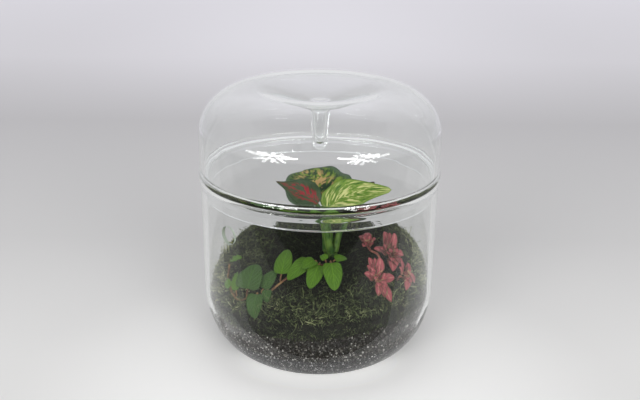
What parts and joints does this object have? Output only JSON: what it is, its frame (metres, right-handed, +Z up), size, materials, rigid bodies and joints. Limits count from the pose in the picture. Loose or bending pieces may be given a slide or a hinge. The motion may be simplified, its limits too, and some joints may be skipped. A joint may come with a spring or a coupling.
{
  "type": "planted glass terrarium",
  "caption": "Round clear glass jar with a domed lift-off lid, its crown pressed into a dish with a hollow drip stem, planted with grit, soil, moss and small foliage plants.",
  "frame": {"origin": "centre of the foot ring, on the surface the jar stands on", "axes": "+Z up along the axis of jar and lid, -Y towards the viewer of the picture, +X to the right"},
  "size_m": [0.2, 0.2, 0.2262],
  "materials": {
    "clear_glass": "clear blown glass, polished, rim edges fire-polished",
    "grit": "loose mixed grit, black, grey and white grains",
    "soil": "damp dark potting compost",
    "moss": "fibrous living moss, matt",
    "roots": "fibrous root plug",
    "stalk_green": "smooth green stem",
    "stalk_pink": "thin reddish stem",
    "runner_brown": "thin brownish runner",
    "leaf_red": "waxy leaf, red between green veins, green margin",
    "leaf_variegated": "waxy leaf, green with cream and pink flecks",
    "leaf_green": "small fresh green leaf",
    "leaf_pink": "salmon pink leaf with green margin"
  },
  "bodies": {
    "jar": {"glass_jar": "clear_glass", "grit_layer": "grit", "soil_bed": "soil", "moss_blanket": "moss", "tall_root_plug": "roots", "tall_stem": "stalk_green", "tall_leaf_red": "leaf_red", "tall_leaf_back": "leaf_variegated", "tall_leaf_cream": "leaf_variegated", "tall_leaf_tucked": "leaf_red", "creeper_root_plug": "roots", "creeper_runner": "runner_brown", "creeper_shoot": "runner_brown", "creeper_leaf_1": "leaf_green", "creeper_leaf_2": "leaf_green", "creeper_leaf_3": "leaf_green", "creeper_leaf_4": "leaf_green", "creeper_leaf_5": "leaf_green", "creeper_leaf_6": "leaf_green", "runner_leaf_1": "leaf_green", "runner_leaf_2": "leaf_green", "runner_leaf_3": "leaf_green", "runner_leaf_4": "leaf_green", "runner_leaf_5": "leaf_green", "runner_leaf_6": "leaf_green", "runner_leaf_7": "leaf_green", "runner_leaf_8": "leaf_green", "pink_root_plug": "roots", "pink_stem_1": "stalk_pink", "pink_stem_2": "stalk_pink", "pink_stem_3": "stalk_pink", "pink_stem_4": "stalk_pink", "pink_rosette_1": "leaf_pink", "pink_rosette_2": "leaf_pink", "pink_rosette_3": "leaf_pink", "pink_rosette_4": "leaf_pink"},
    "lid": {"glass_lid": "clear_glass"}
  },
  "joints": [
    {"name": "lid_lift", "type": "slide", "parent": "jar", "child": "lid", "axis": [0, 0, 1], "range_m": [0, 0.12]}
  ]
}
